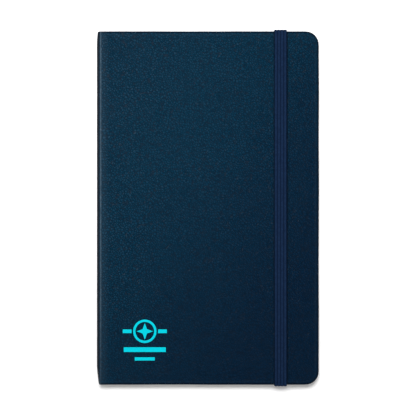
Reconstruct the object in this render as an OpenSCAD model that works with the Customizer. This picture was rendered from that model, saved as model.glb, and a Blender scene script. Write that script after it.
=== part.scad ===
// Hard-cover pilot logbook with an elastic closure, closed and lying on its rear cover.
// Millimetres. +Z is up, +Y is the head of the book, the spine is on -X.
// The origin is under the middle of the book, on the surface it lies on.

/* [Cover] */
// Width over the covers, from the spine to the fore edge
book_w = 132; // [120:1:150]
// Height of the covers, from head to tail
book_h = 210; // [190:1:230]
// Thickness of the closed book over both covers
book_t = 14.8; // [14.4:0.2:17]
// Radius of the cover's two fore-edge corners
corner_r = 8; // [5:0.5:14]
// Radius of the covering where it turns from the spine on to each cover
wrap_r = 2.5; // [2.2:0.1:2.6]
// Thickness of the grey board in each cover
board_t = 1.75; // [1.6:0.05:1.8]
// Thickness of the leatherette covering
skin_t = 0.35; // [0.25:0.05:0.4]
// Width of the covering's turn-in on the inside of each board
turn_in_w = 15; // [12:1:18]

/* [Pages] */
// How far the pages stand inside the covers at head, tail and fore edge
square_w = 2.5; // [2:0.25:4]
// Radius of the pages' two fore-edge corners
page_r = 6; // [4:0.5:10]
// Thickness of a single leaf, with the air under it
leaf_t = 0.12; // [0.1:0.01:0.14]

/* [Elastic strap] */
// Width of the elastic
strap_w = 7.4; // [5:0.2:10]
// Thickness of the elastic
strap_t = 0.8; // [0.6:0.05:0.85]
// Distance of the elastic's middle from the fore edge
strap_inset = 22.8; // [18:0.2:30]
// Distance of the elastic's slots from the head and tail edges of the rear cover
slot_inset = 11; // [9:0.5:13]

/* [Cover print] */
// Diameter of the printed compass ring
ring_d = 13.9; // [10:0.1:16]
// Overall width of the ring with its two side bars
emblem_w = 26.2; // [22:0.2:30]

/* [Hidden] */
$fn = 48;
half_w = book_w / 2;
half_h = book_h / 2;
paste_t = 0.15;
cover_t = board_t + 2 * skin_t + paste_t;
front_z = book_t - cover_t;
panel_x = -half_w + wrap_r;

// Pages: the bound edge, the fore edge, and how far they reach to head and tail
page_x0 = panel_x + 1;
page_x1 = half_w - square_w - 0.5;
page_half = half_h - square_w;
leaf_gap = 0.1;

// The rear pocket lies flat between the rear cover and the pages
gusset_t = 0.3;
panel_t = 0.25;
pocket_z = cover_t + 0.05;
block_z = pocket_z + gusset_t + panel_t + 0.1;

// Twelve folded signatures fill what the flyleaves, the loose leaf and the ribbon leave
signature_count = 12;
ribbon_t = 0.2;
flyleaf_z = front_z - leaf_gap - leaf_t;
loose_t = 3 * leaf_gap + leaf_t + ribbon_t;
signature_t = (flyleaf_z - block_z - leaf_t - loose_t) / signature_count;
ribbon_after = 6;

// Rigid parts of the spine stop short of the path of the front cover's edge
spine_top = book_t - 4;
spine_low = wrap_r;
card_t = 0.8;
card_x = -half_w + skin_t;

// Layers glued to the back of the sewn pages
thread_r = 0.15;
mull_t = 0.2;
lining_t = 0.3;
band_r = 0.7;
stations = [-84, -42, 0, 42, 84];

// The elastic sits in a channel pressed into the rear cover, then goes through its slot
strap_x = half_w - strap_inset;
strap_gap = 0.1;
strap_low = 0.05;
channel_z = strap_low + strap_t;
run_z = book_t + strap_gap;
leg_y = half_h + strap_gap;
slot_y = half_h - slot_inset;
anchor_l = 12;

print_t = 0.05;
emblem_pos = [-37.4, -73.2];

// Outline square at the spine and rounded at the two fore-edge corners
module fore_rounded(x0, x1, half_y, r) {
    translate([x0, -half_y]) square([x1 - x0 - r, 2 * half_y]);
    translate([x0, -half_y + r]) square([x1 - x0, 2 * (half_y - r)]);
    for (side = [-1, 1]) {
        translate([x1 - r, side * (half_y - r)]) circle(r);
    }
}

// Flat sheet with that outline, its underside at height z
module sheet(x0, x1, half_y, r, z, t) {
    translate([0, 0, z]) linear_extrude(t) fore_rounded(x0, x1, half_y, r);
}

// Space in which the strap's width lies, from y0 to y1 and from z0 to z1, with some play
module strap_space(y0, y1, z0, z1, play) {
    translate([strap_x - strap_w / 2 - play, y0, z0])
        cube([strap_w + 2 * play, y1 - y0, z1 - z0]);
}

// Covering of one cover: outer skin, wrapped edges and turn-ins, as if the outside faces down.
// The board's pocket and the window between the turn-ins are taken out of it.
module covering() {
    difference() {
        sheet(panel_x, half_w, half_h, corner_r, 0, cover_t - paste_t);
        sheet(panel_x - 1, half_w - skin_t, half_h - skin_t, corner_r - skin_t, skin_t, board_t);
        translate([panel_x - 1, -half_h + turn_in_w, skin_t + board_t / 2])
            cube([book_w - wrap_r - turn_in_w + 1, book_h - 2 * turn_in_w, board_t]);
    }
}

// Grey board of one cover, as if the outside faces down
module board() {
    sheet(panel_x, half_w - skin_t, half_h - skin_t, corner_r - skin_t, skin_t, board_t);
}

// Pasted-down endpaper: it covers the turn-ins and fills the window between them
module pastedown() {
    edge = 3;
    sheet(panel_x, half_w - edge, half_h - edge, corner_r - edge, cover_t - paste_t, paste_t);
    translate([panel_x, -half_h + turn_in_w, skin_t + board_t])
        cube([book_w - wrap_r - turn_in_w, book_h - 2 * turn_in_w, skin_t]);
}

// Puts a cover piece drawn outside-down on top of the book, outside up
module on_front() {
    translate([0, 0, book_t]) mirror([0, 0, 1]) children();
}

module front_leatherette() {
    color([0.05, 0.16, 0.24]) on_front() covering();
}

module front_board() {
    color([0.52, 0.5, 0.47]) on_front() board();
}

module front_pastedown() {
    color([0.93, 0.92, 0.87]) on_front() pastedown();
}

// One quarter of a four-pointed compass star
module star_arm(long, wide) {
    polygon([[0, 0], [wide, wide], [0, long]]);
    polygon([[0, 0], [0, long], [-wide, wide]]);
}

// Printed mark: a compass star in a ring between two bars, over two plain rules
module emblem_print() {
    ring_w = 1.4;
    star_l = ring_d / 2 - ring_w - 0.6;
    star_w = 1.3;
    bar_h = 2.2;
    bar_gap = 0.9;
    bar_l = (emblem_w - ring_d) / 2 - bar_gap;
    // Each rule's length, height and place below the ring's middle
    rules = [[25, 2.8, -10.9], [11.9, 1.9, -16.4]];
    color([0.02, 0.72, 0.8])
    translate([emblem_pos[0], emblem_pos[1], book_t]) linear_extrude(print_t) {
        difference() {
            circle(d = ring_d);
            circle(d = ring_d - 2 * ring_w);
        }
        for (turn = [0:90:270]) rotate(turn) star_arm(star_l, star_w);
        for (side = [-1, 1]) {
            translate([side * (ring_d / 2 + bar_gap + bar_l / 2), 0])
                square([bar_l, bar_h], center = true);
        }
        for (rule = rules) {
            translate([0, rule[2]]) square([rule[0], rule[1]], center = true);
        }
    }
}

// Covering of the spine, turned in over the card at head and tail
module spine_leatherette() {
    color([0.05, 0.16, 0.24])
    difference() {
        translate([-half_w, -half_h, spine_low])
            cube([2 * skin_t + card_t, book_h, spine_top - spine_low]);
        translate([card_x, -half_h + skin_t, spine_low - 1])
            cube([card_t, book_h - 2 * skin_t, book_t]);
        translate([card_x, -half_h + turn_in_w, spine_low - 1])
            cube([card_t + 2 * skin_t, book_h - 2 * turn_in_w, book_t]);
    }
}

module spine_card() {
    margin = 0.3;
    color([0.55, 0.53, 0.5])
    translate([card_x, -half_h + skin_t, spine_low + margin])
        cube([card_t, book_h - 2 * skin_t, spine_top - spine_low - margin]);
}

// Quarter turn of the covering between the spine and a cover, drawn at the tail end upright
module wrap_quarter(up) {
    intersection() {
        difference() {
            circle(wrap_r);
            circle(wrap_r - skin_t);
        }
        translate([-wrap_r, up ? 0 : -wrap_r]) square(wrap_r);
    }
}

// Stands a profile drawn in X and Z along the full height of the book
module along_book() {
    translate([0, half_h, 0]) rotate([90, 0, 0]) linear_extrude(book_h) children();
}

// Flexible leather hinge from the spine on to the front cover
module front_joint() {
    color([0.05, 0.15, 0.23])
    along_book() {
        translate([panel_x, book_t - wrap_r]) wrap_quarter(true);
        translate([-half_w, spine_top]) square([skin_t, book_t - wrap_r - spine_top]);
    }
}

module rear_joint() {
    color([0.05, 0.15, 0.23])
    along_book() translate([panel_x, wrap_r]) wrap_quarter(false);
}

// Rear covering, pressed in under the elastic and slotted for it at head and tail
module rear_leatherette() {
    color([0.05, 0.16, 0.24])
    difference() {
        union() {
            covering();
            for (side = [0, 1]) mirror([0, side, 0]) {
                strap_space(slot_y, half_h - skin_t / 2, skin_t / 2, channel_z + skin_t, strap_gap);
            }
        }
        for (side = [0, 1]) mirror([0, side, 0]) {
            strap_space(slot_y - strap_t, half_h + 1, -1, channel_z, strap_gap);
            strap_space(slot_y - strap_t, slot_y, -1, cover_t - paste_t - skin_t, strap_gap);
        }
    }
}

// Rear board with the channels, slots and inner recesses that the elastic takes up
module rear_board() {
    recess_z = skin_t + board_t - strap_t - strap_low;
    color([0.52, 0.5, 0.47])
    difference() {
        board();
        for (side = [0, 1]) mirror([0, side, 0]) {
            strap_space(slot_y, half_h, 0, channel_z + skin_t, strap_gap);
            strap_space(slot_y - strap_t, slot_y, 0, cover_t, strap_gap);
            strap_space(slot_y - anchor_l, slot_y, recess_z, cover_t, strap_gap);
        }
    }
}

module rear_pastedown() {
    color([0.93, 0.92, 0.87]) pastedown();
}

// Card front of the flat pocket inside the rear cover, open towards the spine
module pocket_panel() {
    inset = 5;
    color([0.9, 0.88, 0.82])
    sheet(page_x0 + 12, half_w - inset, half_h - inset, page_r, pocket_z + gusset_t, panel_t);
}

// Folded cloth gusset along one end of the pocket
module pocket_gusset() {
    inset = 5;
    gusset_w = 9;
    translate([page_x0 + 12, half_h - inset - gusset_w, pocket_z])
        cube([half_w - page_x0 - 12 - inset - page_r, gusset_w, gusset_t]);
}

module pocket_gusset_head() {
    color([0.12, 0.14, 0.18]) pocket_gusset();
}

module pocket_gusset_tail() {
    color([0.12, 0.14, 0.18]) mirror([0, 1, 0]) pocket_gusset();
}

// One leaf of paper with its underside at height z
module leaf(z) {
    color([0.94, 0.92, 0.85]) sheet(page_x0, page_x1, page_half, page_r, z, leaf_t);
}

// Underside of each folded signature, counted down from the front of the book
function signature_z(i) =
    block_z + leaf_t + (signature_count - i) * signature_t
    + (i <= ribbon_after ? ribbon_t : 0)
    + (i == 1 ? leaf_t + 2 * leaf_gap : 0);

// Folded sheets of one signature, with the round fold towards the spine
module signature(i) {
    fold_r = signature_t / 2;
    z = signature_z(i);
    color([0.95, 0.93, 0.87])
    intersection() {
        along_book() {
            translate([page_x0 + fold_r, z + fold_r]) circle(fold_r);
            translate([page_x0 + fold_r, z]) square([book_w, signature_t]);
        }
        sheet(page_x0 - 1, page_x1, page_half, page_r, z - 1, signature_t + 2);
    }
}

module front_flyleaf() {
    leaf(flyleaf_z);
}

// Leaf that is half turned when the book lies open
module turning_leaf() {
    leaf(signature_z(2) + signature_t + leaf_gap);
}

module rear_flyleaf() {
    leaf(block_z);
}

// Woven marker tucked between the two middle signatures
module ribbon_marker() {
    ribbon_w = 6;
    color([0.1, 0.2, 0.45])
    translate([page_x0 + 8, -page_half + 3, signature_z(ribbon_after + 1) + signature_t])
        cube([ribbon_w, 2 * page_half - 6, ribbon_t]);
}

// Thread over the folds: one row of links at each sewing station, joined by one long run
module sewing_thread() {
    low = block_z + leaf_t + signature_t / 2;
    high = signature_z(2) + signature_t / 2;
    color([0.96, 0.95, 0.9])
    translate([page_x0 - thread_r, 0, 0]) {
        for (y = stations) {
            translate([0, y, low]) cylinder(r = thread_r, h = high - low);
        }
        translate([0, stations[len(stations) - 1], low]) rotate([90, 0, 0])
            cylinder(r = thread_r, h = stations[len(stations) - 1] - stations[0]);
    }
}

// Strip glued down the back of the signatures, standing depth in front of their folds
module spine_strip(depth, t, end_gap) {
    translate([page_x0 - depth - t, -page_half + end_gap, block_z])
        cube([t, 2 * (page_half - end_gap), signature_z(2) + signature_t - block_z]);
}

module spine_mull() {
    color([0.9, 0.89, 0.82]) spine_strip(2 * thread_r, mull_t, 8);
}

module spine_lining() {
    color([0.72, 0.6, 0.42]) spine_strip(2 * thread_r + mull_t, lining_t, 2);
}

// Cloth band over the end of the folds at the head
module end_band() {
    color([0.2, 0.3, 0.5])
    translate([page_x0 + band_r - 2 * thread_r, page_half + band_r, block_z])
        cylinder(r = band_r, h = signature_z(2) + signature_t - block_z);
}

module headband() {
    end_band();
}

module tailband() {
    mirror([0, 1, 0]) end_band();
}

// Elastic across the front cover, turning down at head and tail
module strap_run() {
    color([0.1, 0.15, 0.3]) {
        strap_space(-leg_y, leg_y, run_z, run_z + strap_t, 0);
        for (side = [-1, 1]) {
            translate([strap_x - strap_w / 2, side * leg_y, run_z]) rotate([0, 90, 0])
                intersection() {
                    cylinder(r = strap_t, h = strap_w);
                    translate([-strap_t, side > 0 ? 0 : -strap_t, 0])
                        cube([strap_t, strap_t, strap_w]);
                }
        }
    }
}

// Elastic down the thickness of the book, at the head
module strap_leg() {
    color([0.1, 0.15, 0.3]) strap_space(leg_y, leg_y + strap_t, channel_z, run_z, 0);
}

module strap_leg_head() {
    strap_leg();
}

module strap_leg_tail() {
    mirror([0, 1, 0]) strap_leg();
}

// Elastic under the rear cover, through its slot and glued inside, at the head
module strap_tail() {
    top = skin_t + board_t - strap_low;
    color([0.1, 0.15, 0.3]) {
        strap_space(slot_y - strap_t, leg_y + strap_t, strap_low, channel_z, 0);
        strap_space(slot_y - strap_t, slot_y, strap_low, top, 0);
        strap_space(slot_y - anchor_l, slot_y, top - strap_t, top, 0);
    }
}

module strap_tail_head() {
    strap_tail();
}

module strap_tail_tail() {
    mirror([0, 1, 0]) strap_tail();
}

front_leatherette();
front_board();
front_pastedown();
emblem_print();
spine_leatherette();
spine_card();
front_joint();
rear_joint();
rear_leatherette();
rear_board();
rear_pastedown();
pocket_panel();
pocket_gusset_head();
pocket_gusset_tail();
front_flyleaf();
turning_leaf();
signature(1);  // signature_01
signature(2);  // signature_02
signature(3);  // signature_03
signature(4);  // signature_04
signature(5);  // signature_05
signature(6);  // signature_06
signature(7);  // signature_07
signature(8);  // signature_08
signature(9);  // signature_09
signature(10);  // signature_10
signature(11);  // signature_11
signature(12);  // signature_12
rear_flyleaf();
ribbon_marker();
sewing_thread();
spine_mull();
spine_lining();
headband();
tailband();
strap_run();
strap_leg_head();
strap_leg_tail();
strap_tail_head();
strap_tail_tail();
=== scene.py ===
import math

import bpy
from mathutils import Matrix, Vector, noise


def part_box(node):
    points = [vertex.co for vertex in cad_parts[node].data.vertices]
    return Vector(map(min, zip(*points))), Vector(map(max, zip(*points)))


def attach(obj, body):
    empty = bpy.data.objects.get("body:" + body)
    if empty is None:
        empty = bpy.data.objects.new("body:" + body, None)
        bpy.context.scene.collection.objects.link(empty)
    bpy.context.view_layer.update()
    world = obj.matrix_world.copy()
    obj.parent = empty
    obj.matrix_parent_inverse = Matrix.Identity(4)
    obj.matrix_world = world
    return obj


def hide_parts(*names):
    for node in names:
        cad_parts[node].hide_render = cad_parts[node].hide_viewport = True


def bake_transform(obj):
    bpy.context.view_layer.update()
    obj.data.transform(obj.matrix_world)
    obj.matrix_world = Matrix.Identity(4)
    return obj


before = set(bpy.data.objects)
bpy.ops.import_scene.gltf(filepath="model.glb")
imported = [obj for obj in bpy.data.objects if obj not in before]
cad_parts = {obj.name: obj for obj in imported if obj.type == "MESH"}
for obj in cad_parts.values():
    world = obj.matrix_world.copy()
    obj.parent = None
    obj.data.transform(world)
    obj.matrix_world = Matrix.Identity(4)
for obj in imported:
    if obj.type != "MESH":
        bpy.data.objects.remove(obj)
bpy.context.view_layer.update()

MM = 0.001

# ---- Sizes taken from the frame, in metres ----
PANEL_LOW, PANEL_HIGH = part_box("front_leatherette")
SPINE_LOW, SPINE_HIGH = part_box("spine_leatherette")
STRAP_LOW, STRAP_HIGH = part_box("strap_run")
TAIL_LOW, TAIL_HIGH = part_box("strap_tail_head")
FLYLEAF_LOW, FLYLEAF_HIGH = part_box("front_flyleaf")
CARD_LOW, CARD_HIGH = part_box("spine_card")

BOOK_TOP = PANEL_HIGH.z
HALF_H = PANEL_HIGH.y
FORE_X = PANEL_HIGH.x
PANEL_X = PANEL_LOW.x
SPINE_X = SPINE_LOW.x
WRAP_R = PANEL_X - SPINE_X
COVER_T = PANEL_HIGH.z - PANEL_LOW.z
SPINE_T = SPINE_HIGH.x - SPINE_LOW.x
STRAP_W = STRAP_HIGH.x - STRAP_LOW.x
STRAP_X = (STRAP_LOW.x + STRAP_HIGH.x) / 2

# The fore corners' radii, which no box shows; corner_r and page_r in part.scad are the same
CORNER_R = 8 * MM
PAGE_R = 6 * MM


# ---- Camera ----
LENS_MM = 150
SENSOR_MM = 36
VIEW_WIDTH = 247.0 * MM
VIEW_X = 0.13 * MM


def look_down():
    """Straight above the book; the view is VIEW_WIDTH wide at the height of the front cover."""
    data = bpy.data.cameras.new("camera")
    data.lens = LENS_MM
    data.sensor_width = SENSOR_MM
    camera = bpy.data.objects.new("camera", data)
    bpy.context.collection.objects.link(camera)
    camera.location = (VIEW_X, 0, BOOK_TOP + VIEW_WIDTH * data.lens / data.sensor_width)
    bpy.context.scene.camera = camera


look_down()


# ---- Helpers ----
def make_mesh(name, verts, faces, material, smooth=True):
    """A mesh object that remembers where each point is at rest, in millimetres, for its material."""
    mesh = bpy.data.meshes.new(name)
    mesh.from_pydata([tuple(v) for v in verts], [], faces)
    mesh.validate()
    rest = mesh.attributes.new("rest_mm", "FLOAT_VECTOR", "POINT")
    rest.data.foreach_set("vector", [c / MM for v in mesh.vertices for c in v.co])
    if smooth:
        mesh.shade_smooth()
    mesh.materials.append(material)
    obj = bpy.data.objects.new(name, mesh)
    bpy.context.collection.objects.link(obj)
    return obj


def ease(t):
    """0 below 0, 1 above 1, and smooth between."""
    t = min(1.0, max(0.0, t))
    return t * t * (3 - 2 * t)


def towards(value, edge, reach):
    """0 until the value comes within reach of an edge, then smoothly up to 1 at the edge."""
    return ease((value - edge + reach) / reach)


def wander(x, y, scale, seed):
    """A smooth value from about -1 to 1 that drifts over the given distance."""
    return noise.noise(Vector((x / scale, y / scale, seed)))


def grid_faces(columns, rows, first=0, ring=False):
    """Quads over points stored column by column; ring joins each column's last point to its first."""
    faces = []
    for i in range(columns - 1):
        here = first + i * rows
        there = here + rows
        for j in range(rows if ring else rows - 1):
            k = (j + 1) % rows
            faces.append((here + j, here + k, there + k, there + j))
    return faces


def tube_faces(columns, rows, first=0):
    """Quads round a tube of rings, and a face over each end."""
    start = tuple(first + j for j in reversed(range(rows)))
    end = tuple(first + (columns - 1) * rows + j for j in range(rows))
    return grid_faces(columns, rows, first, ring=True) + [start, end]


# ---- Materials: lengths are in millimetres, colours are linear ----
BOOK_TOP_MM = BOOK_TOP / MM
HALF_H_MM = HALF_H / MM
STRAP_RIBS = 4

# From LEATHER_DEEP to LEATHER_LIT is painted light on the covering, darker towards the tail's fore corner
LEATHER_DEEP = (0.0002, 0.0104, 0.0291, 1)
LEATHER_LIT = (0.0004, 0.0240, 0.0500, 1)
# Painted shade: in the grain's creases, on the turned edges, by the spine and beside the elastic
LEATHER_SHADE = (0.0002, 0.0032, 0.0095, 1)
# Painted highlight and painted sheen along and beside the spine
LEATHER_HIGHLIGHT = (0.0520, 0.0850, 0.1160, 1)
INK_THIN = (0.0, 0.46, 0.55, 1)
INK_FULL = (0.0, 0.51, 0.61, 1)
ELASTIC_DEEP = (0.0053, 0.0155, 0.0430, 1)
ELASTIC_LIT = (0.0070, 0.0205, 0.0545, 1)
# Painted shade in the elastic's grooves and between its threads
ELASTIC_SHADE = (0.0018, 0.0060, 0.0200, 1)
PAGE_TINT = (0.64, 0.615, 0.545, 1)
PAGE_LINE = (0.2, 0.3, 0.38, 1)
ENDPAPER_TINT = (0.63, 0.605, 0.55, 1)
ENDPAPER_CLOUD = (0.57, 0.54, 0.47, 1)
BOARD_DARK = (0.2, 0.19, 0.17, 1)
BOARD_PALE = (0.31, 0.29, 0.26, 1)
BAND_TINTS = ((0.55, 0.55, 0.52, 1), (0.02, 0.05, 0.16, 1))
POCKET_TINTS = ((0.02, 0.025, 0.04, 1), (0.035, 0.04, 0.06, 1))
RIBBON_TINTS = ((0.01, 0.03, 0.14, 1), (0.015, 0.05, 0.2, 1))
GAUZE_TINT = (0.75, 0.72, 0.62, 1)
LINING_TINT = (0.45, 0.33, 0.2, 1)


class Shader:
    """A material's node tree, with short ways to add the nodes that the materials share.
    Its place is the point in millimetres: at rest on pieces made here, in the object on CAD nodes."""

    def __init__(self, name, rest=True):
        self.material = bpy.data.materials.new(name)
        self.material.use_nodes = True
        self.tree = self.material.node_tree
        self.surface = self.tree.nodes["Principled BSDF"]
        if rest:
            source = self.add("ShaderNodeAttribute", attribute_name="rest_mm")
            self.place = source.outputs["Vector"]
        else:
            source = self.add("ShaderNodeTexCoord")
            scale = self.add("ShaderNodeVectorMath", operation="SCALE")
            scale.inputs["Scale"].default_value = 1 / MM
            self.link(source.outputs["Object"], scale.inputs[0])
            self.place = scale.outputs[0]

    def add(self, kind, **settings):
        made = self.tree.nodes.new(kind)
        for key, value in settings.items():
            setattr(made, key, value)
        return made

    def link(self, output, socket):
        self.tree.links.new(output, socket)

    def feed(self, socket, value):
        """Links the socket to a node's output, or sets it to a plain value."""
        if isinstance(value, bpy.types.NodeSocket):
            self.link(value, socket)
        else:
            socket.default_value = value

    def math(self, operation, a, b=0.0):
        made = self.add("ShaderNodeMath", operation=operation)
        self.feed(made.inputs[0], a)
        self.feed(made.inputs[1], b)
        return made.outputs[0]

    def axis(self, letter):
        made = self.add("ShaderNodeSeparateXYZ")
        self.link(self.place, made.inputs[0])
        return made.outputs[letter]

    def stretched(self, factors):
        """The place with each axis multiplied by its factor, for patterns finer one way than another."""
        made = self.add("ShaderNodeVectorMath", operation="MULTIPLY")
        self.link(self.place, made.inputs[0])
        made.inputs[1].default_value = factors
        return made.outputs[0]

    def noise(self, per_mm, detail=3.0, vector=None):
        made = self.add("ShaderNodeTexNoise")
        made.inputs["Scale"].default_value = per_mm
        made.inputs["Detail"].default_value = detail
        self.link(vector or self.place, made.inputs["Vector"])
        return made.outputs["Fac"]

    def cells(self, per_mm, feature="F1", vector=None):
        made = self.add("ShaderNodeTexVoronoi", feature=feature)
        made.inputs["Scale"].default_value = per_mm
        self.link(vector or self.place, made.inputs["Vector"])
        return made.outputs["Distance"]

    def ramp(self, value, low, high, to_low=0.0, to_high=1.0):
        """Goes smoothly from to_low to to_high as the value goes from low to high."""
        made = self.add("ShaderNodeMapRange", interpolation_type="SMOOTHSTEP")
        self.feed(made.inputs["Value"], value)
        for key, number in zip(("From Min", "From Max", "To Min", "To Max"), (low, high, to_low, to_high)):
            made.inputs[key].default_value = number
        return made.outputs["Result"]

    def off(self, value, centre):
        """How far the value is from the centre, either way."""
        return self.math("ABSOLUTE", self.math("SUBTRACT", value, centre))

    def near(self, value, centre, reach):
        """1 where the value is at the centre, falling smoothly to 0 at the reach on either side."""
        return self.ramp(self.off(value, centre), 0.0, reach, 1.0, 0.0)

    def within(self, value, centre, reach):
        """1 where the value is less than the reach from the centre, 0 beyond."""
        return self.math("LESS_THAN", self.off(value, centre), reach)

    def blend(self, amount, a, b):
        """Colour a where the amount is 0, colour b where it is 1."""
        made = self.add("ShaderNodeMix", data_type="RGBA")
        self.feed(made.inputs["Factor"], amount)
        colours = [s for s in made.inputs if s.type == "RGBA"]
        self.feed(colours[0], a)
        self.feed(colours[1], b)
        return [s for s in made.outputs if s.type == "RGBA"][0]

    def bump(self, height, depth_mm):
        made = self.add("ShaderNodeBump")
        made.inputs["Strength"].default_value = 1.0
        made.inputs["Distance"].default_value = depth_mm * MM
        self.link(height, made.inputs["Height"])
        return made.outputs["Normal"]

    def finish(self, colour, roughness, normal, **uniform):
        """Feeds the surface; what is the same all over it is set on its own socket."""
        self.feed(self.surface.inputs["Base Color"], colour)
        self.feed(self.surface.inputs["Roughness"], roughness)
        self.link(normal, self.surface.inputs["Normal"])
        for key, value in uniform.items():
            self.surface.inputs[key.replace("_", " ")].default_value = value
        return self.material


def leather_grain(s):
    """Height of pebbled leather grain: small cells of uneven size with soft creases between."""
    creases = s.ramp(s.cells(0.75, "DISTANCE_TO_EDGE"), 0.0, 0.22)
    fine = s.noise(1.7, 4.0)
    return s.math("ADD", s.math("MULTIPLY", creases, 0.6), s.math("MULTIPLY", fine, 0.6))


def painted_light_and_shade(s, x, y, grain):
    """The covering's colour: painted light paler towards the head of the spine and darker towards the tail's
    fore corner, a slow random cloud, and painted shade in the grain's creases.
    """
    # The slope across and along is painted light; the cloud is random tone
    across = s.math("MULTIPLY", x, -0.5 * MM / FORE_X)
    along = s.math("MULTIPLY", y, 0.5 * MM / HALF_H)
    cloud = s.math("MULTIPLY", s.noise(0.03, 3.0), 0.3)
    drift = s.math("ADD", s.math("ADD", across, along), cloud)
    colour = s.blend(s.ramp(drift, -0.55, 0.6), LEATHER_DEEP, LEATHER_LIT)
    # Painted shade in the grain's creases
    return s.blend(s.ramp(grain, 0.45, 0.8, 0.65, 0.0), colour, LEATHER_SHADE)


def inside_outline(s, x, y):
    """Distance in from the cover's edge, round its fore corners too."""
    radius = CORNER_R / MM
    dx = s.math("MAXIMUM", s.math("SUBTRACT", x, FORE_X / MM - radius), 0.0)
    dy = s.math("MAXIMUM", s.math("SUBTRACT", s.math("ABSOLUTE", y), HALF_H_MM - radius), 0.0)
    squares = s.math("ADD", s.math("MULTIPLY", dx, dx), s.math("MULTIPLY", dy, dy))
    return s.math("SUBTRACT", radius, s.math("SQRT", squares))


def elastic_shadow_lines(s, x, z):
    """Painted shadow: 1 on two lines beside the elastic's edges on the front cover, the right one stronger.
    """
    middle = STRAP_X / MM
    half = STRAP_W / 2 / MM
    # Painted shadow beside the elastic, deeper on its right than its left
    right = s.near(x, middle + half + 0.25, 0.75)
    left = s.math("MULTIPLY", s.near(x, middle - half - 0.2, 0.6), 0.6)
    on_front = s.math("GREATER_THAN", z, BOOK_TOP_MM / 2)
    return s.math("MULTIPLY", s.math("MAXIMUM", right, left), on_front)


def painted_shade_mask(s, x, z, inside, from_spine, on_wrap):
    """Painted shade: 1 on the covering's turned edges and within 1.8 mm of the spine's outer face, and
    painted shadow beside the elastic.
    """
    # Painted shade where the spine's rounded edge and the turned edges face away from the light
    spine_rim = s.math("MULTIPLY", s.ramp(from_spine, 1.4, 1.8, 1.0, 0.0), on_wrap)
    rim = s.math("MAXIMUM", s.ramp(inside, 0.4, 1.3, 1.0, 0.0), spine_rim)
    return s.math("MAXIMUM", rim, s.math("MULTIPLY", elastic_shadow_lines(s, x, z), 0.95))


def painted_highlight_mask(s, y, inside, from_spine, on_wrap):
    """How far the covering is painted pale: a painted highlight on the spine's crest in patches that fade
    towards the tail, a faint painted highlight line in from the other edges, and painted sheen beside the
    spine."""
    patches = s.ramp(s.noise(0.35, 4.0), 0.3, 0.7, 0.6, 1.0)
    patches = s.math("MULTIPLY", patches, s.ramp(y, -HALF_H_MM, -HALF_H_MM / 2, 0.45, 1.0))
    # Painted highlight on the spine's crest
    crest = s.math("MULTIPLY", s.near(from_spine, 2.4, 0.7), s.math("MULTIPLY", patches, on_wrap))
    edge = s.math("MULTIPLY", s.near(inside, 2.1, 0.8), 0.05)
    # Painted sheen beside the spine
    beside = s.math("MULTIPLY", s.near(from_spine, 3.0, 5.0), 0.1)
    return s.math("MAXIMUM", crest, s.math("MAXIMUM", edge, beside))


def leatherette_material():
    """Leather-grained covering with painted light over it, painted shade along its turned edges and beside
    the elastic, and a painted highlight along the spine's crest.
    """
    s = Shader("leatherette")
    x, y, z = s.axis("X"), s.axis("Y"), s.axis("Z")
    grain = leather_grain(s)
    inside = inside_outline(s, x, y)
    from_spine = s.math("SUBTRACT", x, SPINE_X / MM)
    on_wrap = s.ramp(s.off(z, BOOK_TOP_MM / 2), BOOK_TOP_MM / 2 - 3.5, BOOK_TOP_MM / 2 - 2.5)
    colour = painted_light_and_shade(s, x, y, grain)
    # Painted shade on the turned edges and by the spine, and painted shadow beside the elastic
    colour = s.blend(painted_shade_mask(s, x, z, inside, from_spine, on_wrap), colour, LEATHER_SHADE)
    # Painted highlight on the spine's crest and painted sheen beside the spine
    colour = s.blend(painted_highlight_mask(s, y, inside, from_spine, on_wrap), colour, LEATHER_HIGHLIGHT)
    rough = s.ramp(s.noise(0.25, 4.0), 0.3, 0.7, 0.29, 0.36)
    return s.finish(colour, rough, s.bump(grain, 0.26), Specular_IOR_Level=0.07)


def ink_material():
    """Matte ink over the covering's grain, very slightly uneven."""
    s = Shader("cover_print", rest=False)
    colour = s.blend(s.ramp(s.noise(1.2, 4.0), 0.35, 0.7), INK_THIN, INK_FULL)
    return s.finish(colour, 0.55, s.bump(leather_grain(s), 0.02), Specular_IOR_Level=0.05)


def elastic_material():
    """Woven elastic: lengthwise ribs, with painted shade in the grooves between them and between its
    threads.
    """
    s = Shader("elastic")
    threads = s.cells(1.0, "F1", s.stretched((1.2, 2.6, 1.2)))
    across = s.noise(1.0, 2.0, s.stretched((0.6, 3.0, 3.0)))
    colour = s.blend(s.ramp(s.noise(0.5, 4.0), 0.3, 0.7), ELASTIC_DEEP, ELASTIC_LIT)
    # Painted shade between the threads
    colour = s.blend(s.ramp(threads, 0.35, 0.7, 0.0, 0.4), colour, ELASTIC_SHADE)
    pitch = STRAP_W / STRAP_RIBS / MM
    place = s.math("DIVIDE", s.math("SUBTRACT", s.axis("X"), STRAP_LOW.x / MM), pitch)
    off_rib = s.off(s.math("FRACT", place), 0.5)
    # Painted shade in the grooves between the ribs
    colour = s.blend(s.ramp(off_rib, 0.22, 0.46, 0.0, 0.85), colour, ELASTIC_SHADE)
    height = s.math("SUBTRACT", across, s.math("MULTIPLY", threads, 0.8))
    return s.finish(colour, 0.72, s.bump(height, 0.12), Specular_IOR_Level=0.05)


def darker(tint, share):
    """The colour with its red, green and blue multiplied by the share."""
    return tuple(c * share for c in tint[:3]) + (1,)


def paper_tone(s, tint):
    """(colour, fibres): paper of the tint, a little darker between its fibres, and their height."""
    fibres = s.noise(1.5, 5.0, s.stretched((0.5, 1.6, 1.0)))
    return s.blend(s.ramp(fibres, 0.3, 0.7), darker(tint, 0.93), tint), fibres


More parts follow.
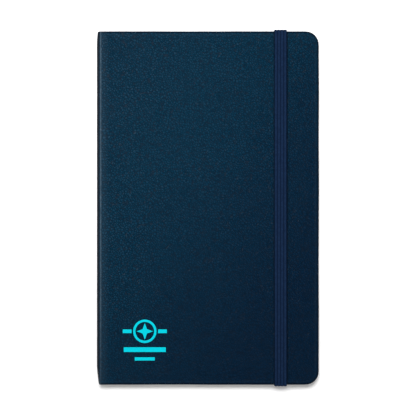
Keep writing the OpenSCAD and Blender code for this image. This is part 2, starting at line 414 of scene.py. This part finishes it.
def line_mask(s, value, pitch, width):
    """1 on thin lines that repeat at the pitch, 0 between them."""
    off = s.off(s.math("FRACT", s.math("DIVIDE", value, pitch)), 0.5)
    return s.ramp(off, width / pitch / 2, width / pitch, 1.0, 0.0)


def page_material():
    """Cream paper ruled as a blank log table; the ruling stays off the margins."""
    s = Shader("page_paper")
    colour, fibres = paper_tone(s, PAGE_TINT)
    x, y = s.axis("X"), s.axis("Y")
    rows = line_mask(s, y, pitch=7.0, width=0.22)
    columns = line_mask(s, x, pitch=18.0, width=0.2)
    inside_x = s.within(x, centre=1.0, reach=54.1)
    inside_y = s.within(y, centre=-3.5, reach=87.6)
    off_margins = s.math("MULTIPLY", inside_x, inside_y)
    lines = s.math("MULTIPLY", s.math("MAXIMUM", rows, columns), off_margins)
    colour = s.blend(s.math("MULTIPLY", lines, 0.75), colour, PAGE_LINE)
    return s.finish(colour, 0.85, s.bump(fibres, 0.02), Specular_IOR_Level=0.2)


def endpaper_material(name, rest):
    """Plain stout paper, clouded in wide soft patches."""
    s = Shader(name, rest)
    colour, fibres = paper_tone(s, ENDPAPER_TINT)
    colour = s.blend(s.ramp(s.noise(0.02, 2.0), 0.3, 0.7, 0.0, 0.25), colour, ENDPAPER_CLOUD)
    return s.finish(colour, 0.82, s.bump(fibres, 0.03), Specular_IOR_Level=0.2)


def board_material(name, rest):
    """Grey board: specks of pulp, pressed in layers."""
    s = Shader(name, rest)
    speck = s.ramp(s.noise(2.2, 6.0), 0.45, 0.62)
    layers = s.noise(1.0, 3.0, s.stretched((0.2, 0.2, 7.0)))
    return s.finish(s.blend(speck, BOARD_DARK, BOARD_PALE), 0.95, s.bump(layers, 0.05))


def cloth_material(name, tints, pitch, rest=True):
    """Woven cloth of two thread colours that change along Z."""
    s = Shader(name, rest)
    stripe = line_mask(s, s.axis("Z"), pitch, pitch * 0.3)
    return s.finish(s.blend(stripe, *tints), 0.85, s.bump(s.cells(3.0), 0.06), Sheen_Weight=0.2)


def gauze_material(name, tint):
    """Open weave: threads both ways, darker between them."""
    s = Shader(name, rest=False)
    rows = line_mask(s, s.axis("Y"), 0.9, 0.3)
    threads = s.math("MAXIMUM", rows, line_mask(s, s.axis("Z"), 0.9, 0.3))
    height = s.math("ADD", threads, s.noise(2.0))
    return s.finish(s.blend(threads, darker(tint, 0.6), tint), 0.9, s.bump(height, 0.05))


LEATHERETTE = leatherette_material()
INK = ink_material()
ELASTIC = elastic_material()
PAGE = page_material()
ENDPAPER = endpaper_material("endpaper", True)
ENDPAPER_CAD = endpaper_material("endpaper_flat", False)
BOARD = board_material("grey_board", True)
BOARD_CAD = board_material("grey_board_flat", False)
BAND = cloth_material("band_cloth", BAND_TINTS, 1.1)
POCKET_CLOTH = cloth_material("pocket_cloth", POCKET_TINTS, 0.3, False)
RIBBON = cloth_material("ribbon_cloth", RIBBON_TINTS, 0.1, False)
GAUZE = gauze_material("gauze", GAUZE_TINT)
LINING = gauze_material("lining_paper", LINING_TINT)


# ---- Covering: outline of one cover, its edge profile, and its bend round the spine ----
# The upper edge is rounded EDGE_IN inwards and EDGE_DOWN down, on a curve a little fuller than an
# ellipse. The lower edge's radius is LOWER_R, and the covering is turned in to TURN_IN from the outline.
EDGE_IN = 2.2 * MM
EDGE_DOWN = 0.8 * MM
EDGE_POWER = 2 / 2.6
LOWER_R = 0.7 * MM
TURN_IN = 4.5 * MM

# The front covering runs down the spine to a seam at SEAM_Z, where the rear one meets it
PANEL_LENGTH = FORE_X - PANEL_X
ARC_LENGTH = WRAP_R * math.pi / 2
SEAM_Z = 6 * MM
SPINE_LENGTH = BOOK_TOP - WRAP_R - SEAM_Z

COVER_ROWS = 49
TAIL_NIP = 1.0 * MM
HEAD_NIP = 0.35 * MM
SIDE_WAVE = 0.16 * MM
FORE_WAVE = 0.14 * MM


def edge_profile(depth):
    """(how far out, how deep) from the top face over the rounded edge and in under the turn-in."""
    upper_steps = 8
    lower_steps = 4
    points = []
    for k in range(1, upper_steps + 1):
        a = math.radians(90 - 90 * k / upper_steps)
        out = EDGE_IN * math.cos(a) ** EDGE_POWER - EDGE_IN
        points.append((out, EDGE_DOWN * (1 - max(0, math.sin(a)) ** EDGE_POWER)))
    for k in range(lower_steps + 1):
        a = math.radians(90 * k / lower_steps)
        points.append((LOWER_R * (math.cos(a) - 1), depth - LOWER_R * (1 - math.sin(a))))
    points.append((-TURN_IN, depth))
    return points


def nip(x, y):
    """How far the ends of the spine pull in towards the pages: most at the tail."""
    near_spine = ease((PANEL_X + 1.5 * MM - x) / (4 * MM))
    tail = TAIL_NIP * towards(-y, HALF_H, 11 * MM)
    head = HEAD_NIP * towards(y, HALF_H, 6 * MM)
    return near_spine * (tail + head)


def uneven_edge(x, y, seed):
    """The point moved a little at the covering's edges, which a hand turned in."""
    y += towards(abs(y), HALF_H, 4 * MM) * SIDE_WAVE * wander(x, y, 22 * MM, seed)
    x += towards(x, FORE_X, 4 * MM) * FORE_WAVE * wander(y, x, 26 * MM, seed + 2)
    return x, y


def wrap_point(u, y, depth, top):
    """A point of the covering: u runs from the fore edge over the cover and down the spine."""
    if u <= PANEL_LENGTH:
        x, z = FORE_X - u, BOOK_TOP - depth
    elif u <= PANEL_LENGTH + ARC_LENGTH:
        a = (u - PANEL_LENGTH) / WRAP_R
        x = PANEL_X - (WRAP_R - depth) * math.sin(a)
        z = BOOK_TOP - WRAP_R + (WRAP_R - depth) * math.cos(a)
    else:
        x = SPINE_X + depth
        z = BOOK_TOP - WRAP_R - (u - PANEL_LENGTH - ARC_LENGTH)
    x, y = uneven_edge(x + nip(x, y), y, seed=3.0 if top else 9.0)
    return Vector((x, y, z if top else BOOK_TOP - z))


def cover_columns(last_u):
    """(u, rise, angle) of each column of points from the fore edge to last_u. Round the fore corner,
    rise is how much taller the column gets and angle is the way that the edge faces."""
    inner_r = CORNER_R - EDGE_IN
    corner_steps = 8
    columns = []
    for k in range(corner_steps + 1):
        a = math.radians(90 * k / corner_steps)
        columns.append((EDGE_IN + inner_r * (1 - math.cos(a)), inner_r * math.sin(a), a))
    spine_u = PANEL_LENGTH + ARC_LENGTH
    stretches = ((CORNER_R, PANEL_LENGTH, 14), (PANEL_LENGTH, spine_u, 14), (spine_u, last_u, 3))
    for start, end, steps in stretches:
        for k in range(1, steps + 1):
            columns.append((start + (end - start) * k / steps, inner_r, math.pi / 2))
    return columns


def cover_rim(columns):
    """(column, row) along the free edge: out along one side, across the fore edge and back."""
    rim = [(i, 0) for i in reversed(range(1, columns))]
    rim += [(0, j) for j in range(COVER_ROWS)]
    rim += [(i, COVER_ROWS - 1) for i in range(1, columns)]
    return rim


def row_y(rise, j):
    """Where row j lies on a column that rises by the given amount."""
    return (HALF_H - CORNER_R + rise) * (2 * j / (COVER_ROWS - 1) - 1)


def covering(name, top, last_u):
    """One cover's covering with rounded fore corners, wrapped edges and turn-ins."""
    columns = cover_columns(last_u)
    verts = [wrap_point(u, row_y(rise, j), 0, top) for u, rise, _ in columns for j in range(COVER_ROWS)]
    faces = grid_faces(len(columns), COVER_ROWS)
    strips = []
    for i, j in cover_rim(len(columns)):
        u, rise, a = columns[i]
        side = -1 if j < COVER_ROWS / 2 else 1
        du, dy = (-1, 0) if i == 0 else (-math.cos(a), side * math.sin(a))
        thin = ease((u - PANEL_LENGTH) / ARC_LENGTH)
        profile = edge_profile(COVER_T + (SPINE_T - COVER_T) * thin)
        first = len(verts)
        for out, deep in profile:
            reach = out + EDGE_IN
            verts.append(wrap_point(u + du * reach, row_y(rise, j) + dy * reach, deep, top))
        strips.append([i * COVER_ROWS + j] + list(range(first, first + len(profile))))
    for here, there in zip(strips, strips[1:]):
        for k in range(len(here) - 1):
            faces.append((here[k], here[k + 1], there[k + 1], there[k]))
    if not top:
        faces = [tuple(reversed(face)) for face in faces]
    return make_mesh(name, verts, faces, LEATHERETTE)


front_cover = covering("covering_front", True, PANEL_LENGTH + ARC_LENGTH + SPINE_LENGTH)
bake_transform(front_cover)
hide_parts("front_leatherette", "front_joint", "spine_leatherette")

rear_length = PANEL_LENGTH + ARC_LENGTH + SEAM_Z - WRAP_R
rear_cover = covering("covering_rear", False, rear_length)
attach(rear_cover, "rear_case")
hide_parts("rear_leatherette", "rear_joint")


# ---- Other parts of the case ----
def paint(material, *nodes):
    """Gives CAD nodes that keep their shape a finished material."""
    for node in nodes:
        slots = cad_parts[node].data.materials
        slots.clear()
        slots.append(material)


paint(INK, "emblem_print")
paint(BOARD_CAD, "front_board", "rear_board")
paint(ENDPAPER_CAD, "front_pastedown", "rear_pastedown", "rear_flyleaf", "pocket_panel")
paint(POCKET_CLOTH, "pocket_gusset_head", "pocket_gusset_tail")
paint(RIBBON, "ribbon_marker")
paint(GAUZE, "spine_mull", "sewing_thread")
paint(LINING, "spine_lining")


def nipped_card():
    """The spine's card, following the covering where its ends pull in."""
    corners = [(CARD_LOW.x, CARD_LOW.z), (CARD_HIGH.x, CARD_LOW.z),
               (CARD_HIGH.x, CARD_HIGH.z), (CARD_LOW.x, CARD_HIGH.z)]
    steps = 70
    verts = []
    for k in range(steps + 1):
        y = CARD_LOW.y + (CARD_HIGH.y - CARD_LOW.y) * k / steps
        for x, z in corners:
            verts.append(Vector((x + nip(x, y), y, z)))
    return make_mesh("spine_card_shaped", verts, tube_faces(steps + 1, 4), BOARD, smooth=False)


card = nipped_card()
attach(card, "rear_case")
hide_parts("spine_card")


def end_band(name, node):
    """A head or tail band: a worked roll with raised stitches."""
    low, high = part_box(node)
    middle = (low + high) / 2
    radius = (high.x - low.x) / 2
    around = 20
    steps = 96
    pitch = 0.55 * MM
    relief = 0.18
    verts = []
    for k in range(steps + 1):
        z = low.z + (high.z - low.z) * k / steps
        swell = abs(math.sin(math.pi * (z - low.z) / pitch))
        r = radius * (1 - relief + relief * swell)
        for j in range(around):
            a = 2 * math.pi * j / around
            verts.append(Vector((middle.x + r * math.cos(a), middle.y + r * math.sin(a), z)))
    band = make_mesh(name, verts, tube_faces(steps + 1, around), BAND)
    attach(band, "rear_case")
    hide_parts(node)


end_band("headband_worked", "headband")
end_band("tailband_worked", "tailband")


# ---- Pages ----
# A page is divided finely over the GUTTER by its fold. A signature is SHEETS folded sheets, and each
# sheet's fore edge lies about CREEP further in than that of the sheet round it.
GUTTER = 16 * MM
LEAF_T = 0.09 * MM
LEAF_ROWS = 21
LEAF_WAVE = 0.012 * MM
SHEET_T = 0.065 * MM
SHEETS = 4
CREEP = 0.05 * MM


def page_half(x, fore):
    """Half the height of a page at x, which falls away round its fore corners."""
    into = PAGE_R - (fore - x)
    drop = PAGE_R - math.sqrt(max(0.0, PAGE_R**2 - max(0.0, into) ** 2))
    return FLYLEAF_HIGH.y - drop


def page_columns(bound, fore):
    """Places across a page from its fore edge to its bound edge, close together where it curves."""
    body_length = fore - PAGE_R - bound - GUTTER
    corner = [fore - PAGE_R * (1 - math.cos(math.radians(90 * k / 8))) for k in range(9)]
    body = [fore - PAGE_R - body_length * k / 10 for k in range(1, 11)]
    gutter = [bound + GUTTER * (1 - k / 16) for k in range(1, 17)]
    return corner + body + gutter


def sheet_solid(verts, faces, path, rows):
    """Adds a thin solid: path holds (upper, lower, half height) for each step along the sheet."""
    first = len(verts)
    for upper, lower, half in path:
        for j in range(rows):
            y = half * (2 * j / (rows - 1) - 1)
            verts.append(Vector((upper[0], y, upper[1])))
        for j in reversed(range(rows)):
            y = half * (2 * j / (rows - 1) - 1)
            verts.append(Vector((lower[0], y, lower[1])))
    faces += tube_faces(len(path), 2 * rows, first)


def crisp(obj):
    """Keeps paper edges sharp while its faces stay smooth."""
    obj.data.set_sharp_from_angle(angle=math.radians(40))


def single_leaf(name, node, material):
    """One flat leaf with rounded fore corners, very slightly wavy."""
    low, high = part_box(node)
    base = low.z + 0.01 * MM
    path = []
    for x in page_columns(low.x, high.x):
        path.append(((x, base + LEAF_T), (x, base), page_half(x, high.x)))
    verts = []
    faces = []
    sheet_solid(verts, faces, path, LEAF_ROWS)
    for v in verts:
        v.z += LEAF_WAVE * wander(v.x, v.y, 40 * MM, low.z / MM)
    leaf = make_mesh(name, verts, faces, material)
    crisp(leaf)
    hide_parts(node)
    return leaf


def folded_path(fold_x, fore, centre, gap):
    """A folded sheet's path: in along its upper half, round the fold and out along its lower half."""
    outer = gap + SHEET_T / 2
    inner = gap - SHEET_T / 2
    fold_steps = 8
    flat = [(x, page_half(x, fore)) for x in page_columns(fold_x, fore)]
    path = [((x, centre + outer), (x, centre + inner), half) for x, half in flat]
    for k in range(1, fold_steps):
        a = math.radians(180 * k / fold_steps)
        path.append((
            (fold_x - outer * math.sin(a), centre + outer * math.cos(a)),
            (fold_x - inner * math.sin(a), centre + inner * math.cos(a)),
            page_half(fold_x, fore),
        ))
    return path + [((x, centre - outer), (x, centre - inner), half) for x, half in reversed(flat)]


def folded_signature(name, node, seed):
    """Folded sheets nested in one another, their fore edges very slightly uneven."""
    low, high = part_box(node)
    centre = (low.z + high.z) / 2
    half_t = (high.z - low.z) / 2
    verts = []
    faces = []
    for k in range(SHEETS):
        gap = half_t * (k + 0.6) / SHEETS
        creep = CREEP * (SHEETS - 1 - k) + CREEP * (1 + wander(k, seed, 1.7, 5.0))
        sheet_solid(verts, faces, folded_path(low.x + half_t, high.x - creep, centre, gap), 2)
    made = make_mesh(name, verts, faces, PAGE)
    crisp(made)
    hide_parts(node)
    return made


def bind_leaf(obj):
    """Bakes the sheet's placing into its mesh."""
    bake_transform(obj)


flyleaf = single_leaf("flyleaf_sheet", "front_flyleaf", ENDPAPER)
bind_leaf(flyleaf)
turning = single_leaf("turning_leaf_sheet", "turning_leaf", PAGE)
bind_leaf(turning)
for number in range(1, 13):
    signature = folded_signature(f"pages_{number:02d}", f"signature_{number:02d}", number)
    if number == 1:
        bind_leaf(signature)
    else:
        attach(signature, "rear_case")


# ---- Elastic strap: one ribbed band from slot to slot ----
RIB_DEPTH = 0.18 * MM
STRAP_EDGE_R = 0.35 * MM
STRAP_BEND_R = 0.45 * MM
STRAP_STEP = 4 * MM
STRAP_SWAY = 0.05 * MM


def rounded(points, radius, steps=6):
    """The path through the points, with each corner turned on a small curve."""
    out = [points[0]]
    for before, at, after in zip(points, points[1:], points[2:]):
        a = at + (before - at).normalized() * radius
        b = at + (after - at).normalized() * radius
        for k in range(steps + 1):
            t = k / steps
            out.append(a * (1 - t) ** 2 + at * 2 * t * (1 - t) + b * t**2)
    return out + [points[-1]]


def even_steps(points, longest):
    """The same path with no step longer than given."""
    out = [points[0]]
    for a, b in zip(points, points[1:]):
        pieces = max(1, math.ceil((b - a).length / longest))
        out += [a.lerp(b, k / pieces) for k in range(1, pieces + 1)]
    return out


def strap_section(thick):
    """(across, out) round the elastic: raised ribs on each face and soft edges."""
    steps = 40
    points = []
    for side in (1, -1):
        for k in range(steps + 1):
            share = k / steps
            across = (share - 0.5) * STRAP_W * side
            rib = abs(math.sin(math.pi * STRAP_RIBS * share)) ** 0.6
            edge = min(1.0, min(share, 1 - share) * STRAP_W / STRAP_EDGE_R)
            high = thick / 2 * math.sqrt(1 - (1 - edge) ** 2) - RIB_DEPTH * (1 - rib) * edge
            points.append((across, side * max(0.0, high)))
    return points


def strap_path(thick):
    """The band's middle line: from inside the rear cover at the head, out through its slot, over the
    book and back in through the slot at the tail."""
    half = thick / 2
    slot_y = TAIL_HIGH.y - (TAIL_HIGH.y - TAIL_LOW.y) / 2 - half
    head = [
        (TAIL_LOW.y, TAIL_HIGH.z - half),
        (slot_y, TAIL_HIGH.z - half),
        (slot_y, TAIL_LOW.z + half),
        (TAIL_HIGH.y - half, TAIL_LOW.z + half),
        (TAIL_HIGH.y - half, STRAP_HIGH.z - half),
    ]
    path = [Vector((0, y, z)) for y, z in head] + [Vector((0, -y, z)) for y, z in reversed(head)]
    return even_steps(rounded(path, STRAP_BEND_R), STRAP_STEP)


def elastic_strap():
    """The whole band as one mesh, from its slots in the rear cover out to the run over the book."""
    thick = STRAP_HIGH.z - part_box("strap_leg_head")[1].z
    path = strap_path(thick)
    section = strap_section(thick)
    verts = []
    for k, point in enumerate(path):
        along = (path[min(k + 1, len(path) - 1)] - path[max(k - 1, 0)]).normalized()
        out = Vector((0, -along.z, along.y))
        sway = STRAP_SWAY * wander(point.y, point.z, 30 * MM, 1.0)
        for across, high in section:
            verts.append(Vector((STRAP_X + across + sway, 0, 0)) + point - out * high)
    strap = make_mesh("elastic_band", verts, tube_faces(len(path), len(section)), ELASTIC)
    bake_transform(strap)
    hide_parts("strap_run", "strap_leg_head", "strap_leg_tail", "strap_tail_head", "strap_tail_tail")


elastic_strap()


# ---- Floor and light ----
FLOOR_HALF = 3.0
FLOOR_DROP = 0.05 * MM
FLOOR_GLOW = 0.16
LAMP_SIZE = 0.3
WORLD_LIGHT = 0.28


def floor():
    """A plain pale floor, just below the book. It glows a little, so that it renders white."""
    corners = [(x * FLOOR_HALF, y * FLOOR_HALF, 0) for x, y in ((-1, -1), (1, -1), (1, 1), (-1, 1))]
    material = bpy.data.materials.new("white_floor")
    material.use_nodes = True
    surface = material.node_tree.nodes["Principled BSDF"]
    surface.inputs["Base Color"].default_value = (0.92, 0.92, 0.92, 1)
    surface.inputs["Roughness"].default_value = 0.9
    surface.inputs["Emission Color"].default_value = (1, 1, 1, 1)
    surface.inputs["Emission Strength"].default_value = FLOOR_GLOW
    ground = make_mesh("floor", corners, [(0, 1, 2, 3)], material, smooth=False)
    ground.location.z = -FLOOR_DROP


def lamp(name, place, aim, watts, spread, lights):
    """A round softbox with a grid that keeps its light near its aim. It gives only diffuse light or
    only glossy reflections, as lights says."""
    data = bpy.data.lights.new(name, "AREA")
    data.shape = "DISK"
    data.size = LAMP_SIZE
    data.energy = watts
    data.spread = math.radians(spread)
    obj = bpy.data.objects.new(name, data)
    bpy.context.collection.objects.link(obj)
    obj.location = place
    obj.rotation_mode = "QUATERNION"
    obj.rotation_quaternion = (Vector(aim) - Vector(place)).to_track_quat("-Z", "Y")
    obj.visible_diffuse = lights == "diffuse"
    obj.visible_glossy = lights == "glossy"


def surroundings():
    """Even white light from all round, shown with plain display colours."""
    world = bpy.data.worlds.new("studio")
    world.use_nodes = True
    background = world.node_tree.nodes["Background"]
    background.inputs["Color"].default_value = (1.0, 1.0, 1.0, 1)
    background.inputs["Strength"].default_value = WORLD_LIGHT
    bpy.context.scene.world = world
    bpy.context.scene.view_settings.view_transform = "Standard"


floor()
lamp("key", place=(-0.03, 0.21, 1.05), aim=(-0.02, 0.06, 0), watts=1.68, spread=60, lights="diffuse")
lamp("sheen", place=(-0.36, 0.26, 1.05), aim=(-0.06, 0.08, 0), watts=1.0, spread=70, lights="glossy")
surroundings()
